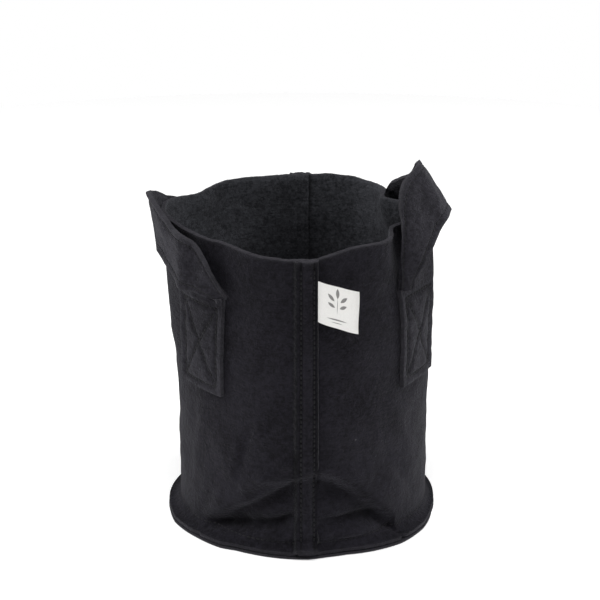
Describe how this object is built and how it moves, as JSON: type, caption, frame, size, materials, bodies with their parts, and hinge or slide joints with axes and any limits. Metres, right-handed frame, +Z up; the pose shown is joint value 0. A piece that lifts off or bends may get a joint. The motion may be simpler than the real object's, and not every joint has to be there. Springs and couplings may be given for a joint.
{
  "type": "fabric grow bag",
  "caption": "Round black felt grow bag with a lapped seam, a turned-out base seam, two felt strap handles and a folded cloth tag.",
  "frame": {"origin": "centre of the base disc's underside, on the surface that the bag stands on", "axes": "+Z up; the front seam and the tag face -Y; the handles are at -X and +X"},
  "size_m": [0.2406, 0.2405, 0.3004],
  "materials": {
    "felt": "black needle-punched polyester felt, matt, slightly fuzzy",
    "thread": "black bonded polyester sewing thread, slight sheen",
    "tag": "white woven satin ribbon with a plain printed leaf mark"
  },
  "bodies": {
    "root": {"base_disc": "felt", "wall_panel_left": "felt", "wall_panel_right": "felt", "front_seam_lower_edge_thread": "thread", "front_seam_upper_edge_thread": "thread", "rear_seam_lower_edge_thread": "thread", "rear_seam_upper_edge_thread": "thread", "base_seam_thread": "thread", "handle_left_front_end": "felt", "handle_left_front_box_stitch": "thread", "handle_left_rear_end": "felt", "handle_left_rear_box_stitch": "thread", "handle_right_front_end": "felt", "handle_right_front_box_stitch": "thread", "handle_right_rear_end": "felt", "handle_right_rear_box_stitch": "thread"},
    "left_handle": {"handle_left_loop": "felt", "handle_left_upper_edge_thread": "thread", "handle_left_lower_edge_thread": "thread"},
    "right_handle": {"handle_right_loop": "felt", "handle_right_upper_edge_thread": "thread", "handle_right_lower_edge_thread": "thread"},
    "tag": {"tag": "tag"}
  },
  "joints": [
    {"name": "left_handle_swing", "type": "hinge", "parent": "root", "child": "left_handle", "pos_m": [-0.114, 0, 0.2136], "axis": [0, -1, 0], "range_deg": [0, 110]},
    {"name": "right_handle_swing", "type": "hinge", "parent": "root", "child": "right_handle", "pos_m": [0.097, 0, 0.2136], "axis": [0, 1, 0], "range_deg": [0, 125]},
    {"name": "tag_swing", "type": "hinge", "parent": "root", "child": "tag", "pos_m": [0.0019, -0.1017, 0.2165], "axis": [0, 0, 1], "range_deg": [-100, 30]}
  ]
}
